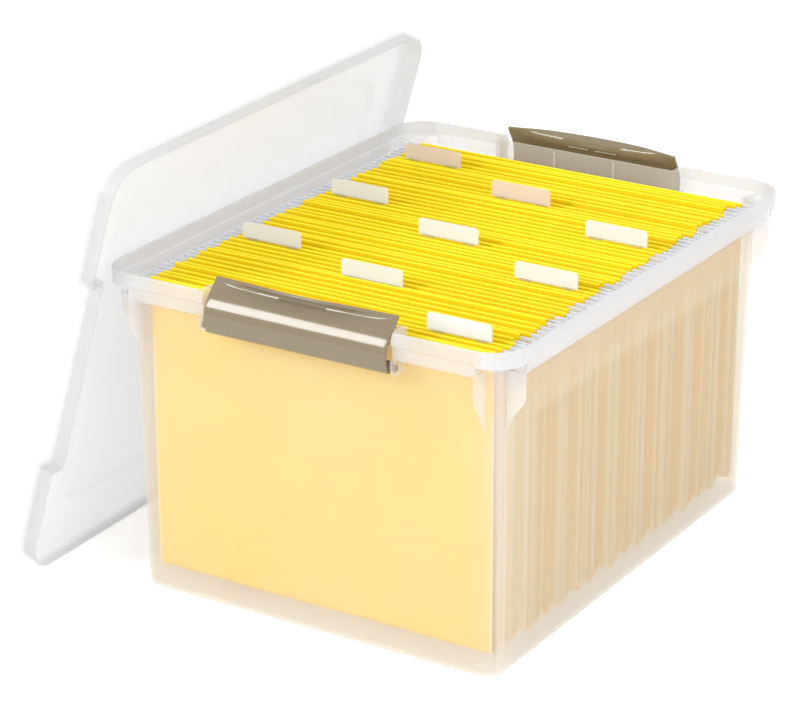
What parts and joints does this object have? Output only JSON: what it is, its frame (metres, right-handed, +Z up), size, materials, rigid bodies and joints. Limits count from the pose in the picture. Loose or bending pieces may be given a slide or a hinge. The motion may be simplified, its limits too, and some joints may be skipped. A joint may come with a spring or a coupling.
{
  "type": "portable file box",
  "caption": "Translucent letter-size file tub with a snap latch at each end, a lid that stands against its side, and yellow tabbed hanging folders on built-in rails.",
  "frame": {"origin": "centre of the tub's underside", "axes": "+X across the latched ends to the right, +Y from the front latch to the rear latch, +Z up"},
  "size_m": [0.4435, 0.4807, 0.3524],
  "materials": {
    "tub_plastic": "frosted translucent, satin outside",
    "lid_plastic": "frosted translucent, satin",
    "latch_plastic": "opaque, polished",
    "folder_paper": "smooth uncoated card",
    "rod_metal": "grey-blue coating",
    "tab_plastic": "clear, glossy",
    "label_paper": "bare white card"
  },
  "bodies": {
    "tub": {"tub": "tub_plastic"},
    "front_latch": {"latch_front": "latch_plastic"},
    "rear_latch": {"latch_rear": "latch_plastic"},
    "lid": {"lid": "lid_plastic"},
    "section_1": {"folders_1": "folder_paper", "rods_1": "rod_metal", "tab_1": "tab_plastic", "label_1": "label_paper"},
    "section_2": {"folders_2": "folder_paper", "rods_2": "rod_metal", "tab_2": "tab_plastic", "label_2": "label_paper"},
    "section_3": {"folders_3": "folder_paper", "rods_3": "rod_metal", "tab_3": "tab_plastic", "label_3": "label_paper"},
    "section_4": {"folders_4": "folder_paper", "rods_4": "rod_metal", "tab_4": "tab_plastic", "label_4": "label_paper"},
    "section_5": {"folders_5": "folder_paper", "rods_5": "rod_metal", "tab_5": "tab_plastic", "label_5": "label_paper"},
    "section_6": {"folders_6": "folder_paper", "rods_6": "rod_metal", "tab_6": "tab_plastic", "label_6": "label_paper"},
    "section_7": {"folders_7": "folder_paper", "rods_7": "rod_metal", "tab_7": "tab_plastic", "label_7": "label_paper"},
    "section_8": {"folders_8": "folder_paper", "rods_8": "rod_metal", "tab_8": "tab_plastic", "label_8": "label_paper"},
    "section_9": {"folders_9": "folder_paper", "rods_9": "rod_metal", "tab_9": "tab_plastic", "label_9": "label_paper"}
  },
  "joints": [
    {"name": "latch_front_hinge", "type": "hinge", "parent": "tub", "child": "front_latch", "pos_m": [0, -0.2225, 0.236], "axis": [1, 0, 0], "range_deg": [0, 100]},
    {"name": "latch_rear_hinge", "type": "hinge", "parent": "tub", "child": "rear_latch", "pos_m": [0, 0.2225, 0.236], "axis": [-1, 0, 0], "range_deg": [-15, 85]},
    {"name": "lid_lift", "type": "slide", "parent": "tub", "child": "lid", "axis": [0, 0, 1], "range_m": [0, 0.3]},
    {"name": "section_1_lift", "type": "slide", "parent": "tub", "child": "section_1", "axis": [0, 0, 1], "range_m": [0, 0.05]},
    {"name": "section_2_lift", "type": "slide", "parent": "tub", "child": "section_2", "axis": [0, 0, 1], "range_m": [0, 0.05]},
    {"name": "section_3_lift", "type": "slide", "parent": "tub", "child": "section_3", "axis": [0, 0, 1], "range_m": [0, 0.05]},
    {"name": "section_4_lift", "type": "slide", "parent": "tub", "child": "section_4", "axis": [0, 0, 1], "range_m": [0, 0.05]},
    {"name": "section_5_lift", "type": "slide", "parent": "tub", "child": "section_5", "axis": [0, 0, 1], "range_m": [0, 0.05]},
    {"name": "section_6_lift", "type": "slide", "parent": "tub", "child": "section_6", "axis": [0, 0, 1], "range_m": [0, 0.05]},
    {"name": "section_7_lift", "type": "slide", "parent": "tub", "child": "section_7", "axis": [0, 0, 1], "range_m": [0, 0.05]},
    {"name": "section_8_lift", "type": "slide", "parent": "tub", "child": "section_8", "axis": [0, 0, 1], "range_m": [0, 0.05]},
    {"name": "section_9_lift", "type": "slide", "parent": "tub", "child": "section_9", "axis": [0, 0, 1], "range_m": [0, 0.05]}
  ]
}
